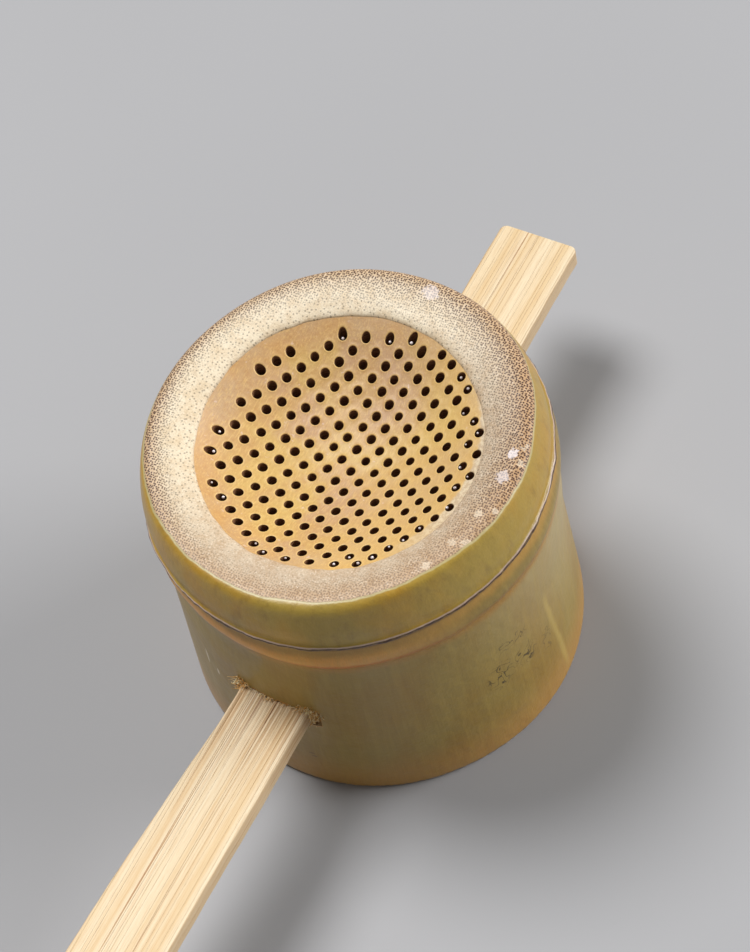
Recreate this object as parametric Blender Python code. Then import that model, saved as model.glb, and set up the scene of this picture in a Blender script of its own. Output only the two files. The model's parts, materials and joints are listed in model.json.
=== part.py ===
"""Bamboo tea strainer: one node of a bamboo culm, cut and drilled as a sieve, on a flat bamboo strip.

The culm stands upright on its cut foot. Its upper edge is cut just above a node, so the node's own
diaphragm, a shallow bowl, is the floor of the strainer and is drilled full of small holes. The strip
lies level in two slots through the hollow skirt, with its grip towards -Y. It is pared to a neck where
it passes the front slot, and slides along Y until it widens on either side of the neck.

The origin is on the table, midway along the strip. Lengths are in metres and +Z is up.
"""

import math

import bmesh
import bpy

MM = 0.001

# Strip, along Y
STRIP_LENGTH = 200 * MM
STRIP_THICKNESS = 3.5 * MM
STRIP_TOP = 22.5 * MM
STUB_REACH = 65 * MM
STRIP_EDGE_ROUND = 0.4 * MM
STRIP_CORNER_ROUND = 1.3 * MM

# Culm
CULM_Y = STRIP_LENGTH / 2 - STUB_REACH
NODE_HEIGHT = 45.3 * MM
CULM_STEPS = 64

# The node isn't quite square to the culm: it is turned so that it rises towards +X and +Y. Radians.
LEAN_X = 0.049
LEAN_Y = 0.051
LEAN_STARTS = 26 * MM
LEAN_FULL = 38 * MM

# Ends of the slots, as x from the culm's axis, and the gap above and below the strip
FRONT_SLOT = (-7.6 * MM, 7.4 * MM)
BACK_SLOT = (-8.7 * MM, 6.1 * MM)
SLOT_CLEARANCE = 0.3 * MM

# Bore that holds the diaphragm: a little oval, its long axis turned this far from +X
BORE_RADIUS = 22.4 * MM
BORE_OVAL = 0.55 * MM
OVAL_TURN = math.radians(150)
OVAL_INSIDE = 23.6 * MM
OVAL_FADES_OUT = 28.4 * MM
OVAL_BOTTOM = -2.0 * MM
FIT_GAP = 0.3 * MM

# Diaphragm: a bowl whose lowest point is off the culm's axis, turned up to one height at its edge
BOWL_MIDDLE = (-0.77 * MM, -1.33 * MM)
BOWL_CENTRE_HEIGHT = 0.9 * MM
BOWL_RISE = 6.1 * MM
BOWL_REACH = 21.5 * MM
EDGE_HEIGHT = 7.5 * MM
DIAPHRAGM_THICKNESS = 2.5 * MM

# Holes, drilled on a square grid
HOLE_RADIUS = 0.76 * MM
HOLE_PITCH = 2.69 * MM
HOLE_SIDES = 8
GRID_TURN = math.radians(57.6)
GRID_SHIFT = (-0.66 * MM, -0.21 * MM)
HOLES_CENTRE = (1.7 * MM, -0.9 * MM)
HOLES_RADIUS = 21.7 * MM

# Outline of the wall as (radius, height above the node's scar), from the foot up the outside,
# over the rim and down the inside. It is turned about the culm's axis.
FOOT = -NODE_HEIGHT
WALL_OUTLINE = [
    # foot, with its edges eased
    (31.9 * MM, FOOT),
    (32.4 * MM, FOOT + 0.5 * MM),
    # skirt, a little waisted
    (32.1 * MM, -36.0 * MM),
    (31.7 * MM, -22.0 * MM),
    (31.5 * MM, -11.0 * MM),
    (31.5 * MM, -7.6 * MM),
    # ridge of the node
    (31.9 * MM, -6.3 * MM),
    (32.3 * MM, -4.6 * MM),
    (32.2 * MM, -3.0 * MM),
    # groove, then the lip of the sheath scar
    (31.6 * MM, -1.4 * MM),
    (31.7 * MM, -0.5 * MM),
    (32.3 * MM, -0.2 * MM),
    (32.3 * MM, 0.3 * MM),
    (31.8 * MM, 0.7 * MM),
    # collar
    (32.0 * MM, 2.8 * MM),
    (31.7 * MM, 5.2 * MM),
    (31.2 * MM, 7.0 * MM),
    # rounded rim
    (30.4 * MM, 8.3 * MM),
    (29.5 * MM, 9.0 * MM),
    (28.4 * MM, 9.1 * MM),
    (26.0 * MM, 8.8 * MM),
    (23.6 * MM, 8.3 * MM),
    (22.8 * MM, 8.0 * MM),
    # bore that holds the diaphragm
    (BORE_RADIUS, 7.6 * MM),
    (BORE_RADIUS, 3.8 * MM),
    # hollow skirt
    (22.9 * MM, 1.2 * MM),
    (24.0 * MM, -2.4 * MM),
    (25.3 * MM, -6.5 * MM),
    (26.0 * MM, -12.0 * MM),
    (26.3 * MM, FOOT + 0.5 * MM),
    (26.8 * MM, FOOT),
]

# Edges of the strip as (x, y) from the culm's axis. Its left edge is pared in for the front slot.
STRIP_LEFT = [
    (-8.4 * MM, STUB_REACH),
    (-8.4 * MM, 22 * MM),
    (-7.7 * MM, 13 * MM),
    (-6.8 * MM, 3 * MM),
    (-6.5 * MM, -8 * MM),
    (-6.4 * MM, -38 * MM),
    (-7.4 * MM, -50 * MM),
    (-8.7 * MM, -72 * MM),
    (-9.2 * MM, -90 * MM),
    (-9.3 * MM, STUB_REACH - STRIP_LENGTH),
]
STRIP_RIGHT = [
    (5.0 * MM, STUB_REACH - STRIP_LENGTH),
    (5.6 * MM, -50 * MM),
    (5.8 * MM, STUB_REACH),
]


def clear_scene():
    for obj in list(bpy.data.objects):
        bpy.data.objects.remove(obj, do_unlink=True)


def bamboo(name, color, roughness):
    material = bpy.data.materials.new(name)
    material.use_nodes = True
    shader = material.node_tree.nodes["Principled BSDF"]
    shader.inputs["Base Color"].default_value = (*color, 1)
    shader.inputs["Roughness"].default_value = roughness
    shader.inputs["Metallic"].default_value = 0
    return material


def add_object(name, bm, place, material):
    bmesh.ops.recalc_face_normals(bm, faces=bm.faces)
    mesh = bpy.data.meshes.new(name)
    bm.to_mesh(mesh)
    bm.free()
    mesh.materials.append(material)
    obj = bpy.data.objects.new(name, mesh)
    obj.location = place
    bpy.context.scene.collection.objects.link(obj)
    return obj


def add_cutter(name, bm, place):
    """A helper shape for a Boolean, which isn't part of the object."""
    bmesh.ops.recalc_face_normals(bm, faces=bm.faces)
    mesh = bpy.data.meshes.new(name)
    bm.to_mesh(mesh)
    bm.free()
    cutter = bpy.data.objects.new(name, mesh)
    cutter.location = place
    cutter.hide_render = True
    cutter.display_type = "WIRE"
    bpy.context.scene.collection.objects.link(cutter)
    return cutter


def add_boolean(obj, name, operation, cutter):
    boolean = obj.modifiers.new(name, "BOOLEAN")
    boolean.operation = operation
    boolean.solver = "EXACT"
    boolean.object = cutter


def shade_round(obj, angle):
    obj.data.shade_smooth()
    obj.data.set_sharp_from_angle(angle=math.radians(angle))


def lean_node(bm):
    """Turns the node about its middle by the small lean, fading out down the skirt so the foot stays flat."""
    for vert in bm.verts:
        x, y, z = vert.co
        share = min(max((z - LEAN_STARTS) / (LEAN_FULL - LEAN_STARTS), 0), 1)
        amount = share * share * (3 - 2 * share)
        vert.co.x -= amount * LEAN_X * (z - NODE_HEIGHT)
        vert.co.y -= amount * LEAN_Y * (z - NODE_HEIGHT)
        vert.co.z += amount * (LEAN_X * x + LEAN_Y * y)


def oval(x, y, amount):
    """A point moved in or out as the bore's oval asks, by amount from 0 for round to 1 for the whole oval."""
    share = BORE_OVAL / BORE_RADIUS * math.cos(2 * (math.atan2(y, x) - OVAL_TURN))
    return x * (1 + amount * share), y * (1 + amount * share)


def shape_bore(bm):
    """Makes the wall's bore and mouth oval, fading to round across the rim and down into the skirt."""
    for vert in bm.verts:
        x, y, z = vert.co
        across = (OVAL_FADES_OUT - math.hypot(x, y)) / (OVAL_FADES_OUT - OVAL_INSIDE)
        if z - NODE_HEIGHT > OVAL_BOTTOM:
            vert.co.x, vert.co.y = oval(x, y, min(max(across, 0), 1))


def make_culm_wall(material):
    bm = bmesh.new()
    verts = [bm.verts.new((radius, 0, NODE_HEIGHT + height)) for radius, height in WALL_OUTLINE]
    edges = [bm.edges.new((verts[k - 1], verts[k])) for k in range(len(verts))]
    bmesh.ops.spin(
        bm,
        geom=verts + edges,
        cent=(0, 0, 0),
        axis=(0, 0, 1),
        angle=2 * math.pi,
        steps=CULM_STEPS,
        use_merge=True,
    )
    shape_bore(bm)
    lean_node(bm)
    wall = add_object("culm_wall", bm, (0, CULM_Y, 0), material)
    add_boolean(wall, "Front slot", "DIFFERENCE", make_slot_cutter("front_slot_cutter", FRONT_SLOT, -1))
    add_boolean(wall, "Back slot", "DIFFERENCE", make_slot_cutter("back_slot_cutter", BACK_SLOT, 1))
    shade_round(wall, 40)


def make_slot_cutter(name, ends, side):
    """A bar from the middle of the culm out through its front (side -1) or back (side 1) wall."""
    left, right = ends
    reach = 2 * BORE_RADIUS
    height = STRIP_THICKNESS + 2 * SLOT_CLEARANCE
    bm = bmesh.new()
    bmesh.ops.create_cube(bm, size=1)
    bmesh.ops.scale(bm, verts=bm.verts, vec=(right - left, reach, height))
    middle = ((left + right) / 2, CULM_Y + side * reach / 2, STRIP_TOP - STRIP_THICKNESS / 2)
    return add_cutter(name, bm, middle)


def plain_bowl(x, y):
    across = math.hypot(x - BOWL_MIDDLE[0], y - BOWL_MIDDLE[1])
    return BOWL_CENTRE_HEIGHT + BOWL_RISE * (across / BOWL_REACH) ** 2


def bowl_height(x, y):
    """Height of the diaphragm's upper face above the scar: a parabolic bowl, brought level at its edge."""
    angle = math.atan2(y, x)
    edge_x, edge_y = oval(BORE_RADIUS * math.cos(angle), BORE_RADIUS * math.sin(angle), 1)
    share = min(math.hypot(x, y) / math.hypot(edge_x, edge_y), 1)
    return plain_bowl(x, y) + (EDGE_HEIGHT - plain_bowl(edge_x, edge_y)) * share**10


def grid_point(i, j):
    """A point of the drilling grid, where whole numbers are the middles of holes."""
    along, across = i * HOLE_PITCH, j * HOLE_PITCH
    return (
        GRID_SHIFT[0] + along * math.cos(GRID_TURN) - across * math.sin(GRID_TURN),
        GRID_SHIFT[1] + along * math.sin(GRID_TURN) + across * math.cos(GRID_TURN),
    )


def is_drilled(i, j):
    x, y = grid_point(i, j)
    return math.hypot(x - HOLES_CENTRE[0], y - HOLES_CENTRE[1]) < HOLES_RADIUS


def tile_faces(i, j, corners, vert_at):
    """Upper faces of one square tile of the grid, round its hole where it has one."""
    if not is_drilled(i, j):
        return [corners], []
    x, y = grid_point(i, j)
    ring = []
    for k in range(HOLE_SIDES):
        turn = GRID_TURN + math.radians(-135) + (k - 0.5) * 2 * math.pi / HOLE_SIDES
        ring.append(vert_at(x + HOLE_RADIUS * math.cos(turn), y + HOLE_RADIUS * math.sin(turn)))
    faces = []
    for side in range(4):
        before, after = ring[2 * side], ring[2 * side + 1]
        following = ring[(2 * side + 2) % HOLE_SIDES]
        faces.append([corners[side], after, before])
        faces.append([corners[side], corners[(side + 1) % 4], following, after])
    return faces, [ring]


def make_diaphragm(material):
    """The sieve: square tiles, each with a hole, sunk to a bowl and then trimmed to a round disc."""
    bm = bmesh.new()
    reach = math.ceil(BORE_RADIUS / HOLE_PITCH) + 2
    corner_verts = {}

    def vert_at(x, y):
        return bm.verts.new((x, y, NODE_HEIGHT + bowl_height(x, y)))

    def corner(i, j):
        if (i, j) not in corner_verts:
            corner_verts[i, j] = vert_at(*grid_point(i - 0.5, j - 0.5))
        return corner_verts[i, j]

    rings = []
    for i in range(-reach, reach + 1):
        for j in range(-reach, reach + 1):
            corners = [corner(i, j), corner(i + 1, j), corner(i + 1, j + 1), corner(i, j + 1)]
            faces, holes = tile_faces(i, j, corners, vert_at)
            rings += holes
            for face in faces:
                bm.faces.new(face)
    upper = list(bm.faces)
    lower = bmesh.ops.duplicate(bm, geom=list(bm.verts) + list(bm.edges) + upper)
    twin = lower["vert_map"]
    for vert in [item for item in lower["geom"] if isinstance(item, bmesh.types.BMVert)]:
        vert.co.z -= DIAPHRAGM_THICKNESS
    outer = outer_border(reach, corner)
    for ring in rings + [outer]:
        for k in range(len(ring)):
            a, b = ring[k - 1], ring[k]
            bm.faces.new([a, b, twin[b], twin[a]])
    bmesh.ops.triangulate(bm, faces=[face for face in bm.faces if len(face.verts) > 3])
    lean_node(bm)
    diaphragm = add_object("node_diaphragm", bm, (0, CULM_Y, 0), material)
    add_boolean(diaphragm, "Round outline", "INTERSECT", make_round_trimmer())
    shade_round(diaphragm, 40)


def outer_border(reach, corner):
    """Corners round the outside of the square grid, in order."""
    low, high = -reach, reach + 1
    span = range(low, high)
    border = [corner(k, low) for k in span]
    border += [corner(high, k) for k in span]
    border += [corner(high - (k - low), high) for k in span]
    border += [corner(low, high - (k - low)) for k in span]
    return border


def make_round_trimmer():
    """A plug as wide as the bore less the gap, oval and leaning as the node is."""
    bm = bmesh.new()
    bmesh.ops.create_cone(
        bm,
        cap_ends=True,
        segments=CULM_STEPS,
        radius1=BORE_RADIUS - FIT_GAP,
        radius2=BORE_RADIUS - FIT_GAP,
        depth=NODE_HEIGHT,
    )
    for vert in bm.verts:
        vert.co.x, vert.co.y = oval(vert.co.x, vert.co.y, 1)
    trimmer = add_cutter("round_trimmer", bm, (0, CULM_Y, NODE_HEIGHT))
    trimmer.rotation_euler = (LEAN_Y, -LEAN_X, 0)
    return trimmer


def make_strip(material):
    bm = bmesh.new()
    outline = [bm.verts.new((x, y, -STRIP_THICKNESS / 2)) for x, y in STRIP_LEFT + STRIP_RIGHT]
    base = bm.faces.new(outline)
    raised = bmesh.ops.extrude_face_region(bm, geom=[base])["geom"]
    for vert in [item for item in raised if isinstance(item, bmesh.types.BMVert)]:
        vert.co.z += STRIP_THICKNESS
    bmesh.ops.bevel(
        bm,
        geom=end_corners(bm),
        offset=STRIP_CORNER_ROUND,
        segments=4,
        profile=0.5,
        affect="EDGES",
    )
    strip = add_object("handle_strip", bm, (0, CULM_Y, STRIP_TOP - STRIP_THICKNESS / 2), material)
    bevel = strip.modifiers.new("Eased edges", "BEVEL")
    bevel.width = STRIP_EDGE_ROUND
    bevel.segments = 2
    bevel.angle_limit = math.radians(40)
    shade_round(strip, 30)


def end_corners(bm):
    """The four upright edges at the ends of the strip."""
    ends = (STUB_REACH, STUB_REACH - STRIP_LENGTH)
    corners = []
    for edge in bm.edges:
        a, b = edge.verts
        upright = abs(a.co.z - b.co.z) > STRIP_THICKNESS / 2
        if upright and min(abs(a.co.y - end) for end in ends) < STRIP_EDGE_ROUND:
            corners.append(edge)
    return corners


def main():
    clear_scene()
    make_culm_wall(bamboo("green_culm", (0.30, 0.24, 0.09), 0.45))
    make_diaphragm(bamboo("culm_lining", (0.72, 0.48, 0.23), 0.6))
    make_strip(bamboo("split_strip", (0.82, 0.66, 0.43), 0.55))


main()
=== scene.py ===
"""Looks of a bamboo tea strainer: the culm, its drilled node, the split strip and the fibres at the slots.

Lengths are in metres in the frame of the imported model: the culm stands on z = 0, the strip lies along Y.
Shapes round the culm are worked out from its own axis, with heights counted from the node's sheath scar.
"""

import json
import math
from contextlib import contextmanager

import bmesh
import bpy
import numpy as np
from mathutils import Matrix, Vector
from mathutils.geometry import delaunay_2d_cdt

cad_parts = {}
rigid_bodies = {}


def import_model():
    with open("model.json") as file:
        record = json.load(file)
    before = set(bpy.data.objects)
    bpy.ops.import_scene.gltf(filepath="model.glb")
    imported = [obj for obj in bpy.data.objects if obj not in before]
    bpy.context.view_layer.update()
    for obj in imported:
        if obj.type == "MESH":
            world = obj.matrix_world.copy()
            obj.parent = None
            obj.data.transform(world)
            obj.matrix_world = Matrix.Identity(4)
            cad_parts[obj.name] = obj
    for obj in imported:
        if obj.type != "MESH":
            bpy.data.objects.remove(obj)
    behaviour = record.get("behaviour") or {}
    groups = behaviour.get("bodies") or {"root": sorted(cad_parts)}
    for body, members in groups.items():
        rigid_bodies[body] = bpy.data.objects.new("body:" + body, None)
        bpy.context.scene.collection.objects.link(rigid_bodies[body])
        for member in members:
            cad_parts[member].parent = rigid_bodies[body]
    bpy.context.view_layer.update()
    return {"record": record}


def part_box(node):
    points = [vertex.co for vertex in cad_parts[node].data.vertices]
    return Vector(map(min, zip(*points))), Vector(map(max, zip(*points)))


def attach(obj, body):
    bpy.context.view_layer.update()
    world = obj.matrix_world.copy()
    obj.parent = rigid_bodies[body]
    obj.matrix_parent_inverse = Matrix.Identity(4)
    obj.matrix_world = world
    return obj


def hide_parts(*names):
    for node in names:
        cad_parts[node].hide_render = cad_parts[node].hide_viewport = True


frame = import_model()
wall_low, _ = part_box("culm_wall")
strip_low, strip_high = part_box("handle_strip")

MM = 0.001
CULM_Y = frame["record"]["mounts"][0]["pos_m"][1]
NODE_Z = wall_low.z + 45.3 * MM
FOOT = (wall_low.z - NODE_Z) / MM

# The node leans: it rises this much per unit towards +X and +Y, fading out down the skirt (heights in mm)
LEAN = (0.049, 0.051)
LEAN_STARTS = FOOT + 26
LEAN_FULL = FOOT + 38

# Culm, in mm
TURN_STEPS = 600
MOUTH_RADIUS = 22.4
MOUTH_OVAL = 0.55
OVAL_TURN = math.radians(150)
MOUTH_HEIGHT = 7.55
MOUTH_SHIFT = (0.15, -0.45)
MOUTH_FADE = 5.5
SKIN_EDGE_RADIUS = 29.8
SKIN_FROM = 31

# The skin's edge lies this far out from there all round, then this much further in at the front, in mm
EDGE_OUTSET = 0.54
EDGE_LEAN = 1.4
EDGE_FRONT = (0.087, -0.996, 0)

# On its right the mouth reaches this much further out, past the last holes, with the cut face's pale colour
RIGHT_REACH = 0.55
RIGHT_TURN = math.radians(20)

# Pale marks on the cut face: degrees round from +X, mm from the axis, radius in mm, strength and colour.
# The white ones are varnish with its sheen painted in as a painted highlight, the others pale pith
VARNISH_SHEEN_WHITE = (240, 231, 234)
PALE_PITH = (240, 224, 200)
CUT_MARKS = (
    (86.0, 27.5, 1.5, 0.45, VARNISH_SHEEN_WHITE),
    (11.5, 27.6, 0.95, 0.75, VARNISH_SHEEN_WHITE),
    (3.0, 27.3, 1.15, 0.5, VARNISH_SHEEN_WHITE),
    (14.0, 29.1, 0.5, 0.5, PALE_PITH),
    (8.5, 29.3, 0.55, 0.5, PALE_PITH),
    (-8.5, 29.2, 0.55, 0.5, PALE_PITH),
    (-12.0, 27.3, 0.65, 0.5, PALE_PITH),
    (-21.5, 29.3, 0.65, 0.5, PALE_PITH),
    (-24.0, 27.7, 0.65, 0.45, PALE_PITH),
    (-35.0, 28.4, 0.7, 0.45, PALE_PITH),
)

# Drilled node, in mm
BOWL_MIDDLE = (-0.77, -1.33)
BOWL_CENTRE = 0.9
BOWL_RISE = 6.1
BOWL_REACH = 21.5
BOWL_THICKNESS = 2.5
HOLE_RADIUS = 0.75
HOLE_SIDES = 24
HOLE_LEVELS = (0.1, 0.35, 0.7)
HOLE_PITCH = 2.69
GRID_TURN = math.radians(57.6)
GRID_SHIFT = (-0.66, -0.21)
HOLES_CENTRE = (1.7, -0.9)
HOLES_RADIUS = 21.7

# Least wood between a hole and the mouth, and how far a hole may move in for it before it is left out, in mm
HOLE_MARGIN = 0.16
HOLE_SHIFT_LIMIT = 0.75

# A hole has straight sides in the mesh, so its wood reaches up to this far inside the true circle, in mm
HOLE_SIDE_SAG = 0.012

# Rings of points round each hole, mm outside its edge: two that carry its burr and one beyond them
BURR_RINGS = (0.07, 0.13)
OUTER_RING = 0.26

# The diaphragm's edge is tucked under the wall's. Its points between the holes are this far apart, and
# near the mouth they follow rings this far inside it, in mm
TUCK_OUT = 0.42
TUCK_DOWN = 0.45
BOWL_SPACING = 0.55
MOUTH_RINGS = (0.15, 0.35, 0.6, 0.9, 1.3, 1.7)
MOUTH_ANGLES = np.arange(TURN_STEPS // 2) * 4 * math.pi / TURN_STEPS

# On the steep back of the bowl the drill ran up the slope, so holes there are drawn out by this much, in mm
RUN_LENGTH = 0.85
RUN_TOWARDS = math.radians(126)
RUN_STARTS = 0.83
RUN_MARGIN = 0.15

# Slots as (left, right) in mm from the culm's axis
FRONT_SLOT = (-7.6, 7.4)
BACK_SLOT = (-8.7, 6.1)
SLOT_CLEARANCE = 0.3
CUTTER_LENGTH = 40
CUTTER_POINTS = 34

# The skirt's skin at the slots, and the radius at which the skin is unrolled to place its marks, in mm
SLOT_SKIN_RADIUS = 31.75
UNROLLED_RADIUS = 31.8

# Outline of the wall as (radius, height above the scar) in mm, from the mouth out, down and back up inside
RIM = [
    (MOUTH_RADIUS, MOUTH_HEIGHT), (22.7, 7.95), (23.6, 8.28), (25.0, 8.6), (26.6, 8.85),
    (28.2, 9.05), (29.3, 9.0), (30.0, 8.7), (30.5, 8.15), (30.9, 7.2),
]
COLLAR = [
    (31.35, 5.6), (31.75, 3.9), (31.9, 2.4), (31.85, 1.2),
]
SCAR_LIP = [
    (31.95, 0.75), (32.3, 0.5), (32.42, 0.2), (32.38, -0.1), (32.05, -0.3), (31.6, -0.42),
]
GROOVE_AND_RIDGE = [
    (31.45, -0.9), (31.55, -1.6), (31.85, -2.5), (32.2, -3.5), (32.35, -4.5), (32.25, -5.4),
    (31.9, -6.3), (31.6, -7.2),
]
SKIRT = [
    (31.5, -8.6), (31.5, -11), (31.55, -14), (31.6, -18), (31.7, -22), (31.85, -26), (32.0, -30),
    (32.15, -34), (32.3, -38), (32.45, -42), (32.52, -44.2), (32.4, -45.0),
]
FOOT_RING = [
    (32.1, FOOT), (31.7, FOOT), (30.0, FOOT), (28.5, FOOT), (27.2, FOOT), (26.8, FOOT),
]
INSIDE = [
    (26.5, -44.9), (26.35, -43.5), (26.25, -38), (26.2, -32), (26.15, -26), (26.1, -20),
    (26.0, -14), (25.7, -9), (25.0, -5), (24.0, -2), (23.2, 0.8), (22.8, 3.2), (22.75, 5.0),
    (22.72, 6.6),
]


def clean_scene():
    for obj in list(bpy.data.objects):
        if obj.type in {"LIGHT", "CAMERA"}:
            bpy.data.objects.remove(obj, do_unlink=True)


# ---- shapes shared by the culm's pieces


def waves(angle, seed, lowest, highest, size):
    """A smooth closed wobble round the culm, in mm, made of lowest to highest waves per turn."""
    random = np.random.default_rng(seed)
    counts = np.arange(lowest, highest + 1)
    phases = random.uniform(0, 2 * math.pi, len(counts))
    sizes = random.uniform(0.4, 1.0, len(counts)) / np.sqrt(counts / lowest)
    total = (sizes[:, None] * np.cos(counts[:, None] * np.ravel(angle)[None] + phases[:, None])).sum(0)
    return (size * total / np.sqrt((sizes**2).sum() / 2)).reshape(np.shape(angle))


def smooth_share(value, low, high):
    share = np.clip((value - low) / (high - low), 0, 1)
    return share * share * (3 - 2 * share)


def hump(value, middle, width):
    """1 at the middle, fading to nothing about twice width away."""
    return np.exp(-(((value - middle) / width) ** 2))


def mouth_reach(angle):
    """How far the mouth's slightly wavy, oval edge is from its middle, in mm."""
    oval = MOUTH_OVAL * np.cos(2 * (angle - OVAL_TURN))
    oval = oval + RIGHT_REACH * np.exp((np.cos(angle - RIGHT_TURN) - 1) / 0.25)
    return MOUTH_RADIUS + oval + waves(angle, 3, 3, 9, 0.07) + waves(angle, 4, 12, 44, 0.04)


def mouth_edge(angle):
    """Points (x, y) of the mouth's edge, in mm."""
    reach = mouth_reach(angle)
    return reach * np.cos(angle) + MOUTH_SHIFT[0], reach * np.sin(angle) + MOUTH_SHIFT[1]


def from_mouth(x, y):
    """Angle about the mouth's middle, and the distance from it as a share of the way to the edge."""
    angle = np.arctan2(y - MOUTH_SHIFT[1], x - MOUTH_SHIFT[0])
    return angle, np.hypot(x - MOUTH_SHIFT[0], y - MOUTH_SHIFT[1]) / mouth_reach(angle)


def place(points):
    """Points in mm from the culm's axis and scar, leaned as the node is, as world coordinates in metres."""
    x, y, height = points.T
    amount = smooth_share(height, LEAN_STARTS, LEAN_FULL)
    world = np.empty((len(points), 3))
    world[:, 0] = (x - amount * LEAN[0] * height) * MM
    world[:, 1] = (y - amount * LEAN[1] * height) * MM + CULM_Y
    world[:, 2] = (height + amount * (LEAN[0] * x + LEAN[1] * y)) * MM + NODE_Z
    return world


def rounded(outline, passes):
    """Cuts the corners of an open outline, keeping its two ends."""
    points = np.array(outline, float)
    for _ in range(passes):
        before, after = points[:-1], points[1:]
        cut = np.stack([0.75 * before + 0.25 * after, 0.25 * before + 0.75 * after], 1).reshape(-1, 2)
        points = np.vstack([points[:1], cut[1:-1], points[-1:]])
    return points


def mesh_object(name, points, faces, materials, face_materials=None, attributes=None):
    mesh = bpy.data.meshes.new(name)
    mesh.from_pydata([tuple(p) for p in points], [], [tuple(int(i) for i in f) for f in faces])
    for material in materials:
        mesh.materials.append(material)
    if face_materials is not None:
        mesh.polygons.foreach_set("material_index", np.asarray(face_materials, np.int32))
    for title, values in (attributes or {}).items():
        mesh.attributes.new(title, "FLOAT", "POINT").data.foreach_set("value", np.asarray(values, np.float32))
    mesh.validate()
    obj = bpy.data.objects.new(name, mesh)
    bpy.context.scene.collection.objects.link(obj)
    return obj


def object_from(bm, name, material):
    """Turns a finished bmesh into an object."""
    mesh = bpy.data.meshes.new(name)
    bm.to_mesh(mesh)
    bm.free()
    mesh.materials.append(material)
    obj = bpy.data.objects.new(name, mesh)
    bpy.context.scene.collection.objects.link(obj)
    return obj


@contextmanager
def edited(obj):
    """The object's mesh as a bmesh, written back when the block ends."""
    bm = bmesh.new()
    bm.from_mesh(obj.data)
    yield bm
    bm.to_mesh(obj.data)
    bm.free()


def shade_round(obj, degrees):
    obj.data.shade_smooth()
    obj.data.set_sharp_from_angle(angle=math.radians(degrees))


def face_outwards(obj):
    with edited(obj) as bm:
        bmesh.ops.recalc_face_normals(bm, faces=bm.faces)


# ---- culm wall


def wall_outline():
    """The rounded outline, and how far in from the skin's edge each of its points lies on the cut face."""
    outline = rounded(RIM + COLLAR + SCAR_LIP + GROOVE_AND_RIDGE + SKIRT + FOOT_RING + INSIDE, 2)
    steps = np.hypot(*np.diff(outline, axis=0).T)
    run = np.concatenate([[0], np.cumsum(steps)])
    face = np.argmax(outline[:, 0] > SKIN_FROM)
    return outline, np.interp(SKIN_EDGE_RADIUS, outline[:face, 0], run[:face]) - run


def uneven_wall(outline, angle):
    """Radius and height of every point (outline, turn), with the natural unevenness of a culm."""
    radius = np.repeat(outline[:, :1], TURN_STEPS, 1)
    height = np.repeat(outline[:, 1:], TURN_STEPS, 1)
    outside = np.zeros((len(outline), 1))
    foot_at = np.argmax(outline[:, 1] <= FOOT + 0.01)
    outside[:foot_at] = smooth_share(outline[:foot_at, :1], 27, SKIN_FROM)
    radius += outside * waves(angle, 11, 2, 6, 0.1)
    lip = hump(height, 0.15, 0.45) * outside
    radius += lip * (waves(angle, 12, 12, 60, 0.05) + waves(angle, 13, 60, 180, 0.025))
    height += lip * waves(angle, 14, 6, 40, 0.06)
    ridge = hump(height, -6.3, 1.6) * outside
    height += ridge * waves(angle, 15, 2, 14, 0.28)
    radius += hump(height, -4.6, 1.5) * outside * waves(angle, 16, 3, 24, 0.05)
    crest = smooth_share(height, 7.2, 8.6) * (radius < SKIN_FROM)
    height += crest * smooth_share(radius, 23.5, 26) * waves(angle, 17, 2, 5, 0.1)
    foot_edge = hump(height, FOOT + 0.2, 0.35) * (radius > 32)
    radius -= foot_edge * np.abs(waves(angle, 18, 20, 150, 0.06))
    return radius, height


def wall_points(outline):
    """Grid of points (outline, turn), with the mouth's edge brought to where it belongs."""
    angle = np.arange(TURN_STEPS) * 2 * math.pi / TURN_STEPS
    radius, height = uneven_wall(outline, angle)
    x = radius * np.cos(angle)
    y = radius * np.sin(angle)
    edge_x, edge_y = mouth_edge(angle)
    near = 1 - smooth_share(np.hypot(x, y), MOUTH_RADIUS, MOUTH_RADIUS + MOUTH_FADE)
    near = near * smooth_share(height, -2, 3)
    x += near * (edge_x - MOUTH_RADIUS * np.cos(angle))
    y += near * (edge_y - MOUTH_RADIUS * np.sin(angle))
    return np.stack([x, y, height], -1)


def row_materials(outline):
    """Slot of the material below each point of the outline: 0 is skin, 1 the hollow, 2 the sawn foot."""
    slots = np.zeros(len(outline), int)
    first_foot, last_foot = np.flatnonzero(np.abs(outline[:, 1] - FOOT) < 0.02)[[0, -1]]
    slots[first_foot:last_foot] = 2
    slots[last_foot:] = 1
    return slots


def make_culm_wall(skin, hollow, sawn):
    outline, cut_depth = wall_outline()
    grid = wall_points(outline)
    rows = len(outline)
    index = np.arange(rows * TURN_STEPS).reshape(rows, TURN_STEPS)
    following = np.roll(index, -1, 1)
    below = np.roll(index, -1, 0)
    below_following = np.roll(following, -1, 0)
    faces = np.stack([index, below, below_following, following], -1).reshape(-1, 4)
    attributes = {
        "cut_depth": np.repeat(cut_depth, TURN_STEPS),
        "node_height": grid[..., 2].ravel(),
    }
    wall = mesh_object(
        "bamboo_culm",
        place(grid.reshape(-1, 3)),
        faces,
        [skin, hollow, sawn],
        np.repeat(row_materials(outline), TURN_STEPS),
        attributes,
    )
    face_outwards(wall)
    shade_round(wall, 60)
    for name, ends, side in (("front_cutter", FRONT_SLOT, -1), ("back_cutter", BACK_SLOT, 1)):
        cut_slot(wall, name, ends, side, sawn)
    return wall


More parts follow.
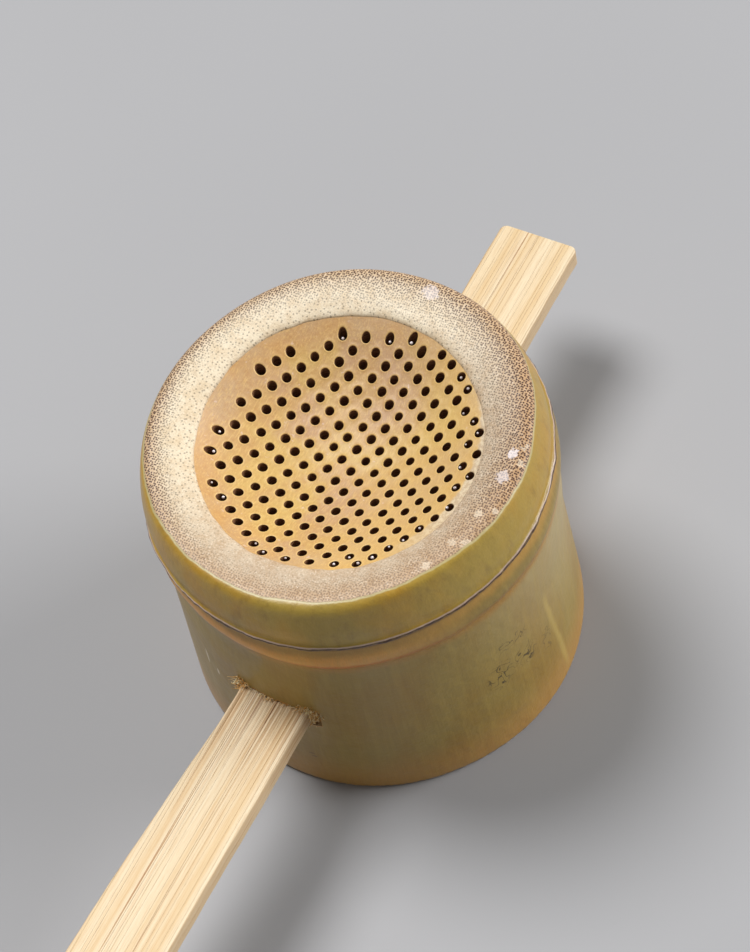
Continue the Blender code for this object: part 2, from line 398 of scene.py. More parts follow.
def cut_slot(wall, name, ends, side, sawn):
    """Cuts one slot with a bar whose edges are a little ragged, as a knife leaves them."""
    random = np.random.default_rng(21 if side < 0 else 22)
    low = strip_low.z / MM - SLOT_CLEARANCE
    high = strip_high.z / MM + SLOT_CLEARANCE
    left, right = ends
    stations = np.linspace(left, right, CUTTER_POINTS)
    top = [(x, high + random.uniform(-0.12, 0.2)) for x in stations]
    bottom = [(x, low + random.uniform(-0.15, 0.08)) for x in stations[::-1]]
    outline = [(left - 0.05, high - 0.2)] + top + [(right + 0.05, high - 0.4)] + bottom
    bm = bmesh.new()
    near = [bm.verts.new((x * MM, CULM_Y, z * MM)) for x, z in outline]
    base = bm.faces.new(near)
    raised = bmesh.ops.extrude_face_region(bm, geom=[base])["geom"]
    for vert in [item for item in raised if isinstance(item, bmesh.types.BMVert)]:
        vert.co.y += side * CUTTER_LENGTH * MM
    bmesh.ops.recalc_face_normals(bm, faces=bm.faces)
    cutter = object_from(bm, name, sawn)
    cut = wall.modifiers.new(name, "BOOLEAN")
    cut.operation = "DIFFERENCE"
    cut.solver = "EXACT"
    cut.object = cutter
    cut.material_mode = "TRANSFER"
    apply_modifiers(wall)
    bpy.data.objects.remove(cutter, do_unlink=True)


def apply_modifiers(obj):
    graph = bpy.context.evaluated_depsgraph_get()
    mesh = bpy.data.meshes.new_from_object(obj.evaluated_get(graph), depsgraph=graph)
    obj.modifiers.clear()
    obj.data = mesh


# ---- drilled node


def hole_layout():
    """The drilled holes: middles in mm, radii, the way each is drawn out, and by how much."""
    random = np.random.default_rng(5)
    rows = math.ceil(HOLES_RADIUS / HOLE_PITCH) + 2
    steps = np.arange(-rows, rows + 1) * HOLE_PITCH
    ahead, across = (part.ravel() for part in np.meshgrid(steps, steps, indexing="ij"))
    x = GRID_SHIFT[0] + ahead * math.cos(GRID_TURN) - across * math.sin(GRID_TURN)
    y = GRID_SHIFT[1] + ahead * math.sin(GRID_TURN) + across * math.cos(GRID_TURN)
    drilled = np.hypot(x - HOLES_CENTRE[0], y - HOLES_CENTRE[1]) < HOLES_RADIUS
    centres = np.stack([x, y], -1)[drilled]
    centres = centres + random.normal(0, 0.05, centres.shape)
    radii = HOLE_RADIUS + random.normal(0, 0.02, len(centres))
    angle, share = from_mouth(*centres.T)
    reach = mouth_reach(angle)
    distance = np.minimum(share * reach, reach - radii - HOLE_MARGIN)
    inside = share * reach - distance < HOLE_SHIFT_LIMIT
    outward = np.stack([np.cos(angle), np.sin(angle)], -1)
    centres = MOUTH_SHIFT + outward * distance[:, None]
    drawn = RUN_LENGTH * smooth_share(share, RUN_STARTS, RUN_STARTS + 0.1)
    drawn = drawn * np.sqrt(np.clip(np.cos(angle - RUN_TOWARDS), 0, 1))
    drawn = np.minimum(drawn, reach - radii - RUN_MARGIN - distance)
    return centres[inside], radii[inside], outward[inside], drawn[inside]


def hole_ring(hole, extra, count, turn=0.0):
    """Points round one hole, extra mm outside it. Its outer half is drawn out towards the mouth's edge."""
    centre, radius, outward, drawn = hole
    angle = np.arange(count) * 2 * math.pi / count + turn
    ring = np.stack([np.cos(angle), np.sin(angle)], -1)
    ahead = np.clip(ring @ outward, 0, 1)
    return centre + (radius + extra) * ring + (drawn * ahead)[:, None] * outward


def gap_to_holes(points, holes):
    """Distance in mm of each point from the nearest hole's edge, negative inside it."""
    nearest = np.full(len(points), 1e3)
    for centre, radius, outward, drawn in holes:
        offset = points - centre
        ahead = offset @ outward
        aside = offset @ np.array([-outward[1], outward[0]])
        ahead = np.where(ahead > 0, ahead * radius / (radius + drawn), ahead)
        nearest = np.minimum(nearest, np.hypot(ahead, aside) - radius)
    return nearest


def plain_bowl(x, y):
    across = np.hypot(x - BOWL_MIDDLE[0], y - BOWL_MIDDLE[1])
    return BOWL_CENTRE + BOWL_RISE * (across / BOWL_REACH) ** 2


def bowl_height(x, y):
    """Upper face of the diaphragm: a bowl with low lumps, brought level where it meets the mouth's edge."""
    angle, share = from_mouth(x, y)
    edge_x, edge_y = mouth_edge(angle)
    share = np.clip(share, 0, 1)
    lumps = 0.05 * np.sin(x * 0.55 + 1) * np.cos(y * 0.47) + 0.035 * np.sin(0.9 * x - 1.3 * y)
    lumps = lumps * (1 - share**4)
    return plain_bowl(x, y) + (MOUTH_HEIGHT - plain_bowl(edge_x, edge_y)) * share**10 + lumps


def bowl_layout(holes):
    """Flat layout of the bowl: points, the triangles between them, each hole's ring, and the mouth's ring."""
    loops = [np.stack(mouth_edge(MOUTH_ANGLES), -1)]
    loops += [hole_ring(hole, 0, HOLE_SIDES) for hole in holes]
    points = []
    edges = []
    numbers = []
    for loop in loops:
        start = len(points)
        points.extend(loop.tolist())
        edges.extend((start + k, start + (k + 1) % len(loop)) for k in range(len(loop)))
        numbers.append(range(start, start + len(loop)))
    for hole in holes:
        for extra in BURR_RINGS:
            points.extend(hole_ring(hole, extra, HOLE_SIDES, math.pi / HOLE_SIDES).tolist())
        points.extend(hole_ring(hole, OUTER_RING, HOLE_SIDES).tolist())
    points.extend(fill_points(holes).tolist())
    share = from_mouth(*np.array(points).T)[1]
    wanted = [k for k, part in enumerate(share) if k < numbers[-1].stop or part < 0.997]
    points = [Vector(points[k]) for k in wanted]
    verts, _, triangles, origins, _, _ = delaunay_2d_cdt(points, edges, [], 0, 1e-5)
    flat = np.array([tuple(vert) for vert in verts])
    triangles = np.array(triangles)
    renumber = {old: new for new, olds in enumerate(origins) for old in olds}
    rings = [np.array([renumber[k] for k in loop]) for loop in numbers]
    middle = flat[triangles].mean(1)
    solid = gap_to_holes(middle, holes) > -HOLE_SIDE_SAG
    solid &= from_mouth(*middle.T)[1] < 1
    return flat, triangles[solid], rings[1:], rings[0]


def fill_points(holes):
    """Points that fill the bowl between its holes: a grid, and rings near the mouth, each turned a little."""
    steps = np.arange(-MOUTH_RADIUS - 1, MOUTH_RADIUS + 1, BOWL_SPACING)
    x, y = (part.ravel() for part in np.meshgrid(steps, steps))
    x = x + np.where(np.round(y / BOWL_SPACING) % 2 > 0, BOWL_SPACING / 2, 0)
    inside = from_mouth(x, y)[1] < 0.9
    found = [np.stack([x[inside], y[inside]], -1)]
    for inset in MOUTH_RINGS:
        edge_x, edge_y = mouth_edge(MOUTH_ANGLES + inset)
        scale = 1 - inset / MOUTH_RADIUS
        ring_x = MOUTH_SHIFT[0] + (edge_x - MOUTH_SHIFT[0]) * scale
        ring_y = MOUTH_SHIFT[1] + (edge_y - MOUTH_SHIFT[1]) * scale
        found.append(np.stack([ring_x, ring_y], -1))
    found = np.vstack(found)
    return found[gap_to_holes(found, holes) > 0.4]


def joined(levels):
    """Faces from each ring of point numbers to the next, all rings being of the same length."""
    faces = []
    for upper, lower in zip(levels, levels[1:]):
        faces += zip(upper, np.roll(upper, -1), np.roll(lower, -1), lower)
    return faces


def make_drilled_node(lining, drilled, varnish):
    holes = list(zip(*hole_layout()))
    flat, triangles, rings, mouth_ring = bowl_layout(holes)
    count = len(flat)
    beyond = gap_to_holes(flat, holes)
    top = bowl_height(flat[:, 0], flat[:, 1])
    burr = 0.05 * hump(beyond, 0.13, 0.09) - 0.05 * hump(beyond, 0, 0.05)
    under = top - BOWL_THICKNESS
    points = [np.column_stack([flat, top + burr]), np.column_stack([flat, under])]
    near_hole = [1 - smooth_share(beyond, 0.02, 0.3)] * 2
    faces = [tuple(t) for t in triangles] + [tuple(t[::-1] + count) for t in triangles]
    slots = [0] * len(faces)
    start = 2 * count
    for ring in rings:
        levels = [ring]
        for share in HOLE_LEVELS:
            points.append(np.column_stack([flat[ring], top[ring] * (1 - share) + under[ring] * share]))
            near_hole.append(np.ones(len(ring)))
            levels.append(np.arange(start, start + len(ring)))
            start += len(ring)
        faces += joined(levels + [ring + count])
    slots += [1] * (len(faces) - len(slots))
    outward = (flat[mouth_ring] - MOUTH_SHIFT) * (TUCK_OUT / MOUTH_RADIUS)
    tucked = np.column_stack([flat[mouth_ring] + outward, top[mouth_ring] - TUCK_DOWN])
    points += [tucked, tucked - [0, 0, BOWL_THICKNESS - TUCK_DOWN]]
    near_hole += [np.zeros(len(mouth_ring))] * 2
    tuck = np.arange(start, start + len(mouth_ring))
    faces += joined([mouth_ring, tuck, tuck + len(mouth_ring), mouth_ring + count])
    slots += [0] * (len(faces) - len(slots))
    attributes = {"near_hole": np.concatenate(near_hole)}
    # The third material makes the varnish beads pale: painted glints in the holes
    materials = [lining, drilled, varnish]
    node = mesh_object("drilled_node", place(np.vstack(points)), faces, materials, slots, attributes)
    drop_loose_points(node)
    face_outwards(node)
    shade_round(node, 50)
    add_varnish_glint_beads(node, holes)
    return node


def add_varnish_glint_beads(node, holes):
    """Beads of varnish caught in most of the holes along the mouth's edge, pale so that they paint the glints
    in the holes.
    """
    random = np.random.default_rng(8)
    with edited(node) as bm:
        for centre, radius, outward, _ in holes:
            if from_mouth(*centre)[1] < 0.87 or random.uniform() < 0.3:
                continue
            x, y = centre - outward * random.uniform(-0.05, 0.4) + random.normal(0, 0.12, 2)
            height = bowl_height(x, y) - random.uniform(0.1, 0.35)
            spot = Matrix.Translation(place(np.array([[x, y, height]]))[0])
            size = radius * random.uniform(0.2, 0.36) * MM
            bead = bmesh.ops.create_icosphere(bm, subdivisions=2, radius=size, matrix=spot)
            for face in {face for vert in bead["verts"] for face in vert.link_faces}:
                face.material_index = 2
                face.smooth = True


def drop_loose_points(obj):
    with edited(obj) as bm:
        loose = [vert for vert in bm.verts if not vert.link_faces]
        bmesh.ops.delete(bm, geom=loose, context="VERTS")


# ---- strip

# Edges of the strip as (y, x) in mm from the culm's axis
STRIP_LEFT = [
    (-135, -9.3), (-90, -9.2), (-72, -8.7), (-50, -7.4), (-38, -6.4), (-8, -6.5), (3, -6.8),
    (13, -7.7), (22, -8.4), (65, -8.4),
]
STRIP_RIGHT = [
    (-135, 5.0), (-50, 5.6), (65, 5.8),
]
STRIP_LENGTH = 200
END_CORNER = 1.3
EDGE_ROUND = 0.35
STRIP_COLUMNS = 130
STRIP_STATIONS = 260


def eased(value, outline, reach):
    """An outline's x at these y, with its corners smoothed over reach."""
    y, x = np.array(outline, float).T
    spread = np.linspace(-reach, reach, 9)
    return np.mean([np.interp(value + shift, y, x) for shift in spread], 0)


def fibre_relief(random, y):
    """Depth in mm of the fine grooves between fibres, drifting slowly along the strip."""
    relief = np.zeros((len(y), STRIP_COLUMNS))
    for width, size, drift in ((1, 0.010, 14), (3, 0.014, 25), (9, 0.02, 60)):
        count = STRIP_COLUMNS // width
        knots = int(STRIP_LENGTH / drift)
        values = random.normal(0, 1, (knots, count))
        across = np.linspace(0, count - 1, STRIP_COLUMNS)
        station = (y - y.min()) / (y.max() - y.min()) * (knots - 1)
        low = np.clip(station.astype(int), 0, knots - 2)
        part = smooth_share(station - low, 0, 1)[:, None]
        rows = values[low] * (1 - part) + values[low + 1] * part
        relief += size * np.array([np.interp(across, np.arange(count), row) for row in rows])
    return relief


def strip_edges():
    """Stations along the strip in mm, how far each is from the nearer end, and x at its two edges."""
    low, high = strip_low.y / MM - CULM_Y / MM, strip_high.y / MM - CULM_Y / MM
    ends = END_CORNER * (1 - np.cos(np.linspace(0, math.pi / 2, 9)))
    between = np.linspace(low + 1.5, high - 1.5, STRIP_STATIONS)
    y = np.unique(np.concatenate([low + ends, high - ends, between]))
    from_end = np.minimum(y - low, high - y)
    into_corner = np.clip(END_CORNER - from_end, 0, None)
    inset = END_CORNER - np.sqrt(np.clip(END_CORNER**2 - into_corner**2, 0, None))
    left = eased(y, STRIP_LEFT, 5) + inset + 0.03 * np.sin(y * 0.31) + 0.02 * np.sin(y * 1.13 + 1)
    right = eased(y, STRIP_RIGHT, 5) - inset + 0.03 * np.sin(y * 0.27 + 2) + 0.02 * np.sin(y * 0.9)
    return y, from_end, left, right


def strip_side(random, edge, sign, top, bottom):
    """x and z down one side of the strip: a rounded corner, the slightly rough side, and a corner again."""
    turn = np.linspace(0, math.pi / 2, 5)[1:-1]
    share = np.linspace(0, 1, 7)
    corner_x = (edge - sign * EDGE_ROUND)[:, None] + sign * EDGE_ROUND * np.sin(turn)
    corner_z = (top - EDGE_ROUND)[:, None] + EDGE_ROUND * np.cos(turn)
    side_z = (top - EDGE_ROUND)[:, None] + (bottom - top + 2 * EDGE_ROUND)[:, None] * share
    rough = np.zeros(side_z.shape)
    rough[:, 1:-1] = 0.03 * random.normal(0, 1, (1, len(share) - 2))
    side_x = edge[:, None] - sign * np.abs(rough)
    low_z = (bottom + EDGE_ROUND)[:, None] - EDGE_ROUND * np.cos(turn)[::-1]
    return np.hstack([corner_x, side_x, corner_x[:, ::-1]]), np.hstack([corner_z, side_z, low_z])


def make_strip(split):
    random = np.random.default_rng(31)
    y, from_end, left, right = strip_edges()
    thin = 0.3 * (1 - np.sqrt(np.clip(1 - (1 - np.clip(from_end / 0.5, 0, 1)) ** 2, 0, 1)))
    top = strip_high.z / MM - thin
    bottom = strip_low.z / MM + thin
    share = np.linspace(0, 1, STRIP_COLUMNS)
    x_top = left[:, None] + EDGE_ROUND + (right - left - 2 * EDGE_ROUND)[:, None] * share
    fray = hump(y, -34, 6)[:, None]
    z_top = top[:, None] - np.abs(fibre_relief(random, y)) * (1 + 1.2 * fray)
    z_bottom = bottom[:, None] + np.abs(fibre_relief(random, y))
    right_x, right_z = strip_side(random, right, 1, top, bottom)
    left_x, left_z = strip_side(random, left, -1, top, bottom)
    ring_x = np.hstack([x_top, right_x, x_top[:, ::-1], left_x[:, ::-1]])
    ring_z = np.hstack([z_top, right_z, z_bottom[:, ::-1], left_z[:, ::-1]])
    stations, around = ring_x.shape
    points = np.stack([ring_x * MM, np.repeat(y[:, None], around, 1) * MM + CULM_Y, ring_z * MM], -1)
    index = np.arange(stations * around).reshape(stations, around)
    following = np.roll(index, -1, 1)
    faces = np.stack([index[:-1], following[:-1], following[1:], index[1:]], -1).reshape(-1, 4).tolist()
    faces += end_cap(index[0]) + end_cap(index[-1])
    strip = mesh_object("split_strip", points.reshape(-1, 3), faces, [split])
    face_outwards(strip)
    shade_round(strip, 50)
    return strip


def end_cap(row):
    """Faces that close one end: each joins two neighbours on top with the two below them."""
    side = (len(row) - 2 * STRIP_COLUMNS) // 2
    top = row[:STRIP_COLUMNS]
    bottom = row[STRIP_COLUMNS + side : 2 * STRIP_COLUMNS + side][::-1]
    faces = [(top[k], top[k + 1], bottom[k + 1], bottom[k]) for k in range(STRIP_COLUMNS - 1)]
    right = row[STRIP_COLUMNS - 1 : STRIP_COLUMNS + side + 1]
    left = np.append(row[2 * STRIP_COLUMNS + side - 1 :], row[0])
    return faces + [tuple(right), tuple(left)]


# ---- frayed fibres at the slots

FIBRE_SIDES = 5
FIBRE_STEPS = 7
FIBRE_TAPER = 0.75


def add_fibre(bm, route, thickness):
    """A tapered fibre along a route of points in metres."""
    rings = []
    for k, point in enumerate(route):
        ahead = (route[min(k + 1, len(route) - 1)] - route[max(k - 1, 0)]).normalized()
        side = ahead.orthogonal().normalized()
        up = ahead.cross(side)
        radius = thickness * (1 - FIBRE_TAPER * k / (len(route) - 1))
        ring = []
        for j in range(FIBRE_SIDES):
            turn = j * 2 * math.pi / FIBRE_SIDES
            ring.append(bm.verts.new(point + radius * (math.cos(turn) * side + math.sin(turn) * up)))
        rings.append(ring)
    for a, b in zip(rings, rings[1:]):
        for j in range(FIBRE_SIDES):
            after = (j + 1) % FIBRE_SIDES
            bm.faces.new([a[j], a[after], b[after], b[j]])
    bm.faces.new(rings[0][::-1])
    bm.faces.new(rings[-1])


def fibre_route(random, start, heading, length, curl):
    """A short, curling run of points from start."""
    points = [start]
    direction = heading.normalized()
    bend = Vector(random.normal(0, 1, 3)) * curl
    for _ in range(FIBRE_STEPS):
        direction = (direction + bend / FIBRE_STEPS + Vector(random.normal(0, 0.1, 3))).normalized()
        points.append(points[-1] + direction * length / FIBRE_STEPS)
    return points


def slot_edge_point(x, z, side):
    """A point on the skirt's skin beside a slot, in metres."""
    return Vector((x * MM, CULM_Y + side * math.sqrt(SLOT_SKIN_RADIUS**2 - x * x) * MM, z * MM))


def make_slot_fibres(fibre):
    """Fibres torn up round the slots: most at the upper corners, fewer along the upper edge."""
    random = np.random.default_rng(41)
    bm = bmesh.new()
    top = strip_high.z / MM + 0.15
    bottom = strip_low.z / MM - 0.2
    for (left, right), side, share in ((FRONT_SLOT, -1, 1.0), (BACK_SLOT, 1, 0.5)):
        outward = Vector((0, side, 0))
        for _ in range(int(90 * share)):
            x = random.uniform(left + 0.4, right - 0.2)
            start = slot_edge_point(x, top + random.uniform(-0.1, 0.3), side) - outward * 0.35 * MM
            heading = outward + Vector((random.normal(0, 0.6), 0, random.normal(-0.5, 0.5)))
            route = fibre_route(random, start, heading, random.uniform(0.6, 1.5) * MM, 0.7)
            add_fibre(bm, route, random.uniform(0.05, 0.09) * MM)
        for corner_x, corner_z, count, spread in (
            (left + 1.5, top + 0.25, 75, 0.55),
            (right - 2.0, top + 0.35, 100, 0.7),
            (right - 0.9, top - 0.6, 55, 0.4),
            (right - 0.9, bottom + 1.3, 45, 0.4),
            (left + 0.45, bottom + 1.6, 40, 0.4),
        ):
            for _ in range(int(count * share)):
                x = min(max(corner_x + random.normal(0, spread), left - 0.2), right + 0.3)
                z = corner_z + random.normal(0, 0.45)
                start = slot_edge_point(x, z, side) - outward * 0.4 * MM
                heading = outward + Vector((random.normal(0, 0.9), 0, random.normal(0.1, 0.8)))
                route = fibre_route(random, start, heading, random.uniform(0.8, 2.0) * MM, 1.6)
                add_fibre(bm, route, random.uniform(0.05, 0.13) * MM)
    bmesh.ops.recalc_face_normals(bm, faces=bm.faces)
    fibres = object_from(bm, "slot_fibres", fibre)
    fibres.data.shade_smooth()
    return fibres


# ---- materials


def srgb(red, green, blue):
    """A colour given as it looks on a screen, 0 to 255, as the linear values that shaders use."""
    return (*(((c / 255 + 0.055) / 1.055) ** 2.4 if c > 10 else c / 3294.6 for c in (red, green, blue)), 1)


def new_material(name, roughness, coat=0.0, coat_roughness=0.2, origin=(0, CULM_Y, NODE_Z)):
    """A material, and the point of the surface that is being shaded, in mm from an origin in metres."""
    material = bpy.data.materials.new(name)
    material.use_nodes = True
    shader = material.node_tree.nodes["Principled BSDF"]
    shader.inputs["Roughness"].default_value = roughness
    shader.inputs["Coat Weight"].default_value = coat
    shader.inputs["Coat Roughness"].default_value = coat_roughness
    on_object = add_node(material.node_tree, "TexCoord", {}, "Object")
    return material, on_object.measured_from(origin).stretched((1 / MM, 1 / MM, 1 / MM))


def connect(material, name, value):
    """Feeds one input of the material's shader."""
    tree = material.node_tree
    put(tree, tree.nodes["Principled BSDF"].inputs[name], value)


def finished(material, colour, relief):
    """Gives a material its colour and its relief, which is in mm, and hands it back."""
    connect(material, "Base Color", colour)
    bump = relief.node("Bump", {"Strength": 1, "Distance": MM, "Height": relief}, "Normal")
    connect(material, "Normal", bump)
    return material


def put(tree, socket, value):
    if isinstance(value, Value):
        tree.links.new(value.socket, socket)
    else:
        socket.default_value = value


def add_node(tree, kind, inputs, output=0, **settings):
    """Adds a shader node. Its inputs and its output are told apart by name or by number."""
    made = tree.nodes.new("ShaderNode" + kind)
    for name, setting in settings.items():
        setattr(made, name, setting)
    for name, value in inputs.items():
        put(tree, made.inputs[name], value)
    return Value(tree, made.outputs[output])


class Value:
    """A number, colour or vector made by shader nodes. Arithmetic on it, and its methods, add more nodes."""

    def __init__(self, tree, socket):
        self.tree = tree
        self.socket = socket

    def node(self, kind, inputs, output=0, **settings):
        return add_node(self.tree, kind, inputs, output, **settings)

    def number(self, operation, other=0.0):
        return self.node("Math", {0: self, 1: other}, operation=operation)

    def __add__(self, other):
        return self.number("ADD", other)

    def __sub__(self, other):
        return self.number("SUBTRACT", other)

    def __mul__(self, other):
        return self.number("MULTIPLY", other)

    def __truediv__(self, other):
        return self.number("DIVIDE", other)

    def __abs__(self):
        return self.number("ABSOLUTE")

    def vector(self, operation, other=(0, 0, 0), output=0):
        return self.node("VectorMath", {0: self, 1: other}, output, operation=operation)

    def measured_from(self, spot):
        return self.vector("SUBTRACT", spot)

    def stretched(self, factors):
        return self.vector("MULTIPLY", factors)

    def unit(self):
        return self.vector("NORMALIZE")

    def along(self, direction):
        return self.vector("DOT_PRODUCT", direction, "Value")

    def length(self):
        return self.vector("LENGTH", output="Value")

    def ramp(self, low, high, start=0.0, end=1.0):
        """Goes smoothly from start to end while this value goes from low to high."""
        inputs = {"Value": self, "From Min": low, "From Max": high, "To Min": start, "To Max": end}
        return self.node("MapRange", inputs, "Result", interpolation_type="SMOOTHSTEP")

    def noise(self, scale, detail=3.0, roughness=0.55, distortion=0.0):
        inputs = {"Scale": scale, "Detail": detail, "Roughness": roughness, "Distortion": distortion}
        return self.node("TexNoise", {"Vector": self, **inputs}, "Fac")

    def cells(self, scale, dimensions="2D", randomness=0.85):
        """Distance to the nearest of a field of scattered points, in cell widths."""
        inputs = {"Vector": self, "Scale": scale, "Randomness": randomness}
        return self.node("TexVoronoi", inputs, "Distance", voronoi_dimensions=dimensions)

    def wander(self, scale, size, detail=2.0):
        """A value that drifts about zero, mostly within half of size either way."""
        return (self.noise(scale, detail) - 0.5) * size

    def near_middle(self, width):
        """1 where a noise value passes its middle, 0 further than width from it: a network of fine lines."""
        return abs(self - 0.5).ramp(width, 0)


def attribute(material, name):
    return add_node(material.node_tree, "Attribute", {}, "Fac", attribute_name=name)


def mixed(share, a, b):
    """The colour this share of the way from a to b. Numbers stand for a colour as srgb() takes them."""
    a, b = (colour if isinstance(colour, Value) else srgb(*colour) for colour in (a, b))
    return share.node("Mix", {0: share, 6: a, 7: b}, 2, data_type="RGBA")


def skin_map(point):
    """The skin unrolled: mm round the culm from its +X side, mm above the foot, and depth as zero."""
    x = point.along((1, 0, 0))
    y = point.along((0, 1, 0))
    height = point.along((0, 0, 1)) - FOOT
    turn = y.number("ARCTAN2", x)
    return point.node("CombineXYZ", {"X": turn * UNROLLED_RADIUS, "Y": height})


def patch(unrolled, turn, height, half_width, half_height):
    """1 in the middle of an oval patch of skin, 0 outside it. The turn is in degrees, the rest in mm."""
    middle = (math.radians(turn) * UNROLLED_RADIUS, height, 0)
    offset = unrolled.measured_from(middle).stretched((1 / half_width, 1 / half_height, 0))
    return offset.length().ramp(1, 0.55)


def marked_skin(unrolled, colour):
    """Marks the culm got while it grew: a pale streak, a cluster of dark scratches, nicks and two specks."""
    across = unrolled.along((1, 0.098, 0)) - 2.05 + unrolled.wander(0.2, 0.8)
    streak = abs(across).ramp(1, 0.1)
    high = unrolled.along((0, 1, 0))
    streak = streak * high.ramp(28, 24) * high.ramp(0, 6) * 0.28
    colour = mixed(streak, colour, (222, 196, 112))
    lines = unrolled.noise(0.6, 1, 0.4, 0.8).near_middle(0.035)
    for turn, height, half_width, half_height, share in (
        (-16.5, 25.8, 4.2, 2.2, 0.9),
        (-12.8, 19.5, 3.2, 3.6, 0.85),
        (-22.5, 19.5, 3.4, 4.2, 0.9),
        (-3.5, 16.5, 1.6, 4, 0.5),
    ):
        area = patch(unrolled, turn, height, half_width, half_height)
        colour = mixed(lines * area * share, colour, (40, 30, 14))
    for turn, height, half_width, half_height in ((-118, 20.6, 0.28, 2.6), (-113.6, 18.7, 0.3, 1.1)):
        nick = patch(unrolled, turn, height, half_width, half_height)
        colour = mixed(nick * 0.7, colour, (236, 224, 200))
    for turn, height in ((-82.6, 8.9), (-82, 8.1)):
        speck = patch(unrolled, turn, height, 0.65, 0.28)
        colour = mixed(speck * 0.5, colour, (92, 62, 32))
    return colour


def skin_colour(point, height):
    """Olive collar, a pale lip line that is a painted highlight over bands darkest just under the lip,
    orange-brown ridge, and a golden olive skirt with fine upright grain and a painted sheen on its right.
    """
    clouds = point.stretched((1, 1, 0.6)).noise(0.09, 3)
    streaks = point.stretched((1, 1, 0.02)).noise(1.1, 4, 0.6)
    grain = point.stretched((1, 1, 0.05)).noise(6, 2, 0.6)
    specks = point.noise(2.6, 4, 0.7)
    blots = point.stretched((1, 1, 0.5)).noise(0.45, 4, 0.65)
    lower = height + point.wander(0.22, 1.6, 3)
    facing = point.unit()
    in_front = facing.along((-0.5, -0.87, 0)).ramp(-0.2, 0.7)
    on_right = facing.along((0.98, 0.2, 0)).ramp(0.6, 1)
    collar = mixed(clouds.ramp(0.35, 0.65), (180, 138, 42), (168, 142, 60))
    collar = mixed(blots.ramp(0.5, 0.75, 0, 0.35), collar, (116, 82, 38))
    skirt = mixed(clouds.ramp(0.35, 0.65), (152, 120, 48), (156, 132, 64))
    fade = lower.ramp(FOOT + 0.5, FOOT + 12)
    skirt = mixed(fade, (184, 138, 68), skirt)
    # Painted sheen: the skirt is made paler and greyer on its right, where grazing light shows a sheen
    skirt = mixed(on_right * 0.35, skirt, (198, 186, 148))
    ridge = mixed(in_front, (142, 118, 54), (224, 160, 70))
    ridge_foot = mixed(in_front, (158, 116, 54), (204, 118, 46))
    colour = mixed(lower.ramp(-9.5, -7.2), skirt, (172, 126, 50))
    # Bands up to the scar: darker brown into the groove and darkest just under the lip. The pale band on the
    # lip is a painted highlight
    for level, starts, full, band in (
        (lower, -7, -6.2, ridge_foot),
        (lower, -6, -4.8, ridge),
        (lower, -3.8, -2.2, (176, 134, 60)),
        (height, -1.9, -1.2, (110, 74, 42)),
        (height, -0.6, -0.2, (66, 38, 26)),
        (height, 0.38, 0.46, (196, 172, 158)),
        (height, 0.54, 0.62, collar),
    ):
        colour = mixed(level.ramp(starts, full), colour, band)
    colour = mixed(streaks.ramp(0.35, 0.75, 0, 0.25), colour, (186, 156, 76))
    colour = mixed(grain.ramp(0.3, 0.65, 0.12, 0), colour, (96, 76, 34))
    return mixed(specks.ramp(0.6, 0.78, 0, 0.22), colour, (100, 76, 34))


def cut_colour(point, deep_in):
    """Cream cut face with the brown dots of the fibre bundles, smallest and closest next to the skin."""
    facing = point.unit()
    toward = facing.along((0.72, 0.69, 0))
    front = facing.along((0.38, -0.92, 0))
    wide = toward.ramp(-0.75, 0.8, 4.8, 10)
    strong = front.ramp(0.2, 0.85, 1, 0.45)
    deep = deep_in + point.wander(0.5, 2.2, 3)
    near_skin = deep / wide
    fine = point.cells(2.45, "2D", 0.6)
    reach = near_skin.ramp(0, 1, 0.355, 0.265)
    dots = (fine - reach).ramp(0.06, -0.06)
    dots = dots * near_skin.ramp(1.1, 0.2)
    sparse = point.cells(1.25, "2D", 0.8).ramp(0.22, 0.13)
    sparse = sparse * deep.ramp(1, 3) * front.ramp(0.3, 0.8, 0.6, 0.25)
    patches = point.noise(0.5, 4, 0.6)
    bright = mixed(patches.ramp(0.35, 0.7), (228, 214, 188), (216, 196, 164))
    dull = mixed(patches.ramp(0.35, 0.7), (200, 181, 156), (184, 158, 128))
    pith = mixed(facing.along((0.8, -0.6, 0)).ramp(-0.5, 0.6), bright, dull)
    tint = near_skin.ramp(0.7, 0) * front.ramp(0.2, 0.85, 0.7, 0.4)
    ground = mixed(tint, pith, (182, 134, 80))
    mottle = point.noise(3.4, 3, 0.75)
    ground = mixed(mottle.ramp(0.5, 0.72, 0, 0.45), ground, (146, 112, 78))
    ground = mixed(mottle.ramp(0.46, 0.3, 0, 0.6), ground, (240, 228, 210))
    ground = mixed(sparse, ground, (112, 98, 80))
    dots = dots * strong
    colour = mixed(dots * 0.95, ground, (68, 32, 10))
    ragged = point.wander(1.6, 2.6, 4)
    # The white marks are varnish with a painted highlight, its sheen painted into the colour
    for turn, out, size, share, mark in CUT_MARKS:
        middle = (out * math.cos(math.radians(turn)), out * math.sin(math.radians(turn)), 0)
        away = point.measured_from(middle).stretched((1, 1, 0)).length() + ragged
        colour = mixed(away.ramp(0.7 * size, size, share, 0), colour, mark)
    return colour, dots


